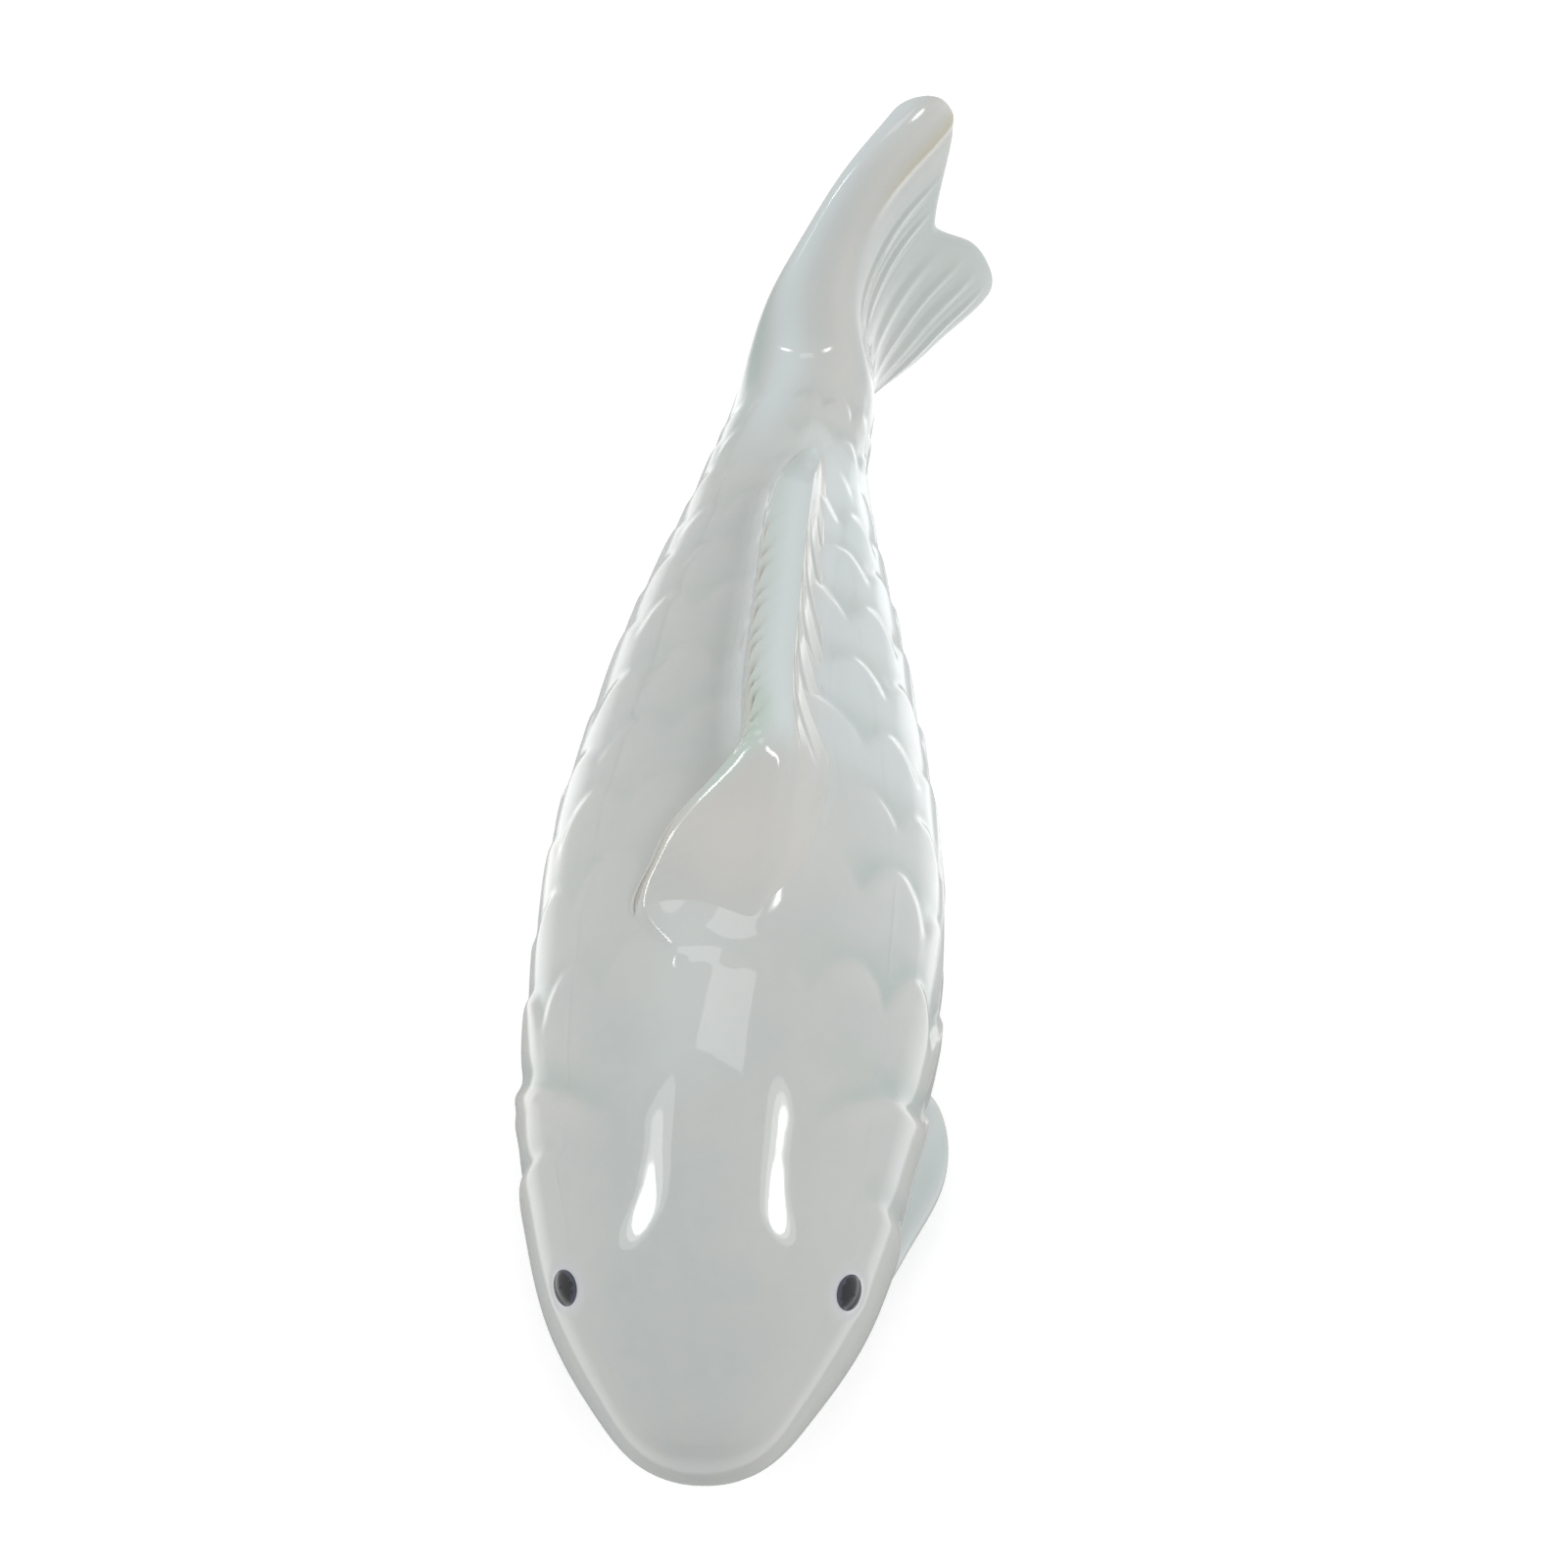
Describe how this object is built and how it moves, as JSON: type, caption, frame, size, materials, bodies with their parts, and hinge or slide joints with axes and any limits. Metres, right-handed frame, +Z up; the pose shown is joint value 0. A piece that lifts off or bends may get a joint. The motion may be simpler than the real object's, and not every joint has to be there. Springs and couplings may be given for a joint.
{
  "type": "fish figurine",
  "caption": "Small glazed porcelain koi figurine that lies on a flat foot, with raised scales, a bent forked tail and dark eyes.",
  "frame": {"origin": "centre of the flat dry foot on the belly, on the surface that the fish rests on", "axes": "+Y from the nose towards the tail, +Z up through the back, +X to the fish's left"},
  "size_m": [0.0392, 0.1191, 0.0359],
  "materials": {
    "celadon_glaze": "clear pale blue-green gloss glaze on white porcelain",
    "eye_glaze": "black stained slip under clear gloss glaze",
    "bare_porcelain": "dry fired porcelain with no glaze"
  },
  "bodies": {
    "root": {"back_shell": "celadon_glaze", "belly_shell": "celadon_glaze", "dorsal_fin": "celadon_glaze", "tail_fin": "celadon_glaze", "anal_fin": "celadon_glaze", "pectoral_fin_left": "celadon_glaze", "pectoral_fin_right": "celadon_glaze", "pelvic_fin_left": "celadon_glaze", "pelvic_fin_right": "celadon_glaze", "eye_left": "eye_glaze", "eye_right": "eye_glaze", "vent_plug": "bare_porcelain"}
  },
  "joints": []
}
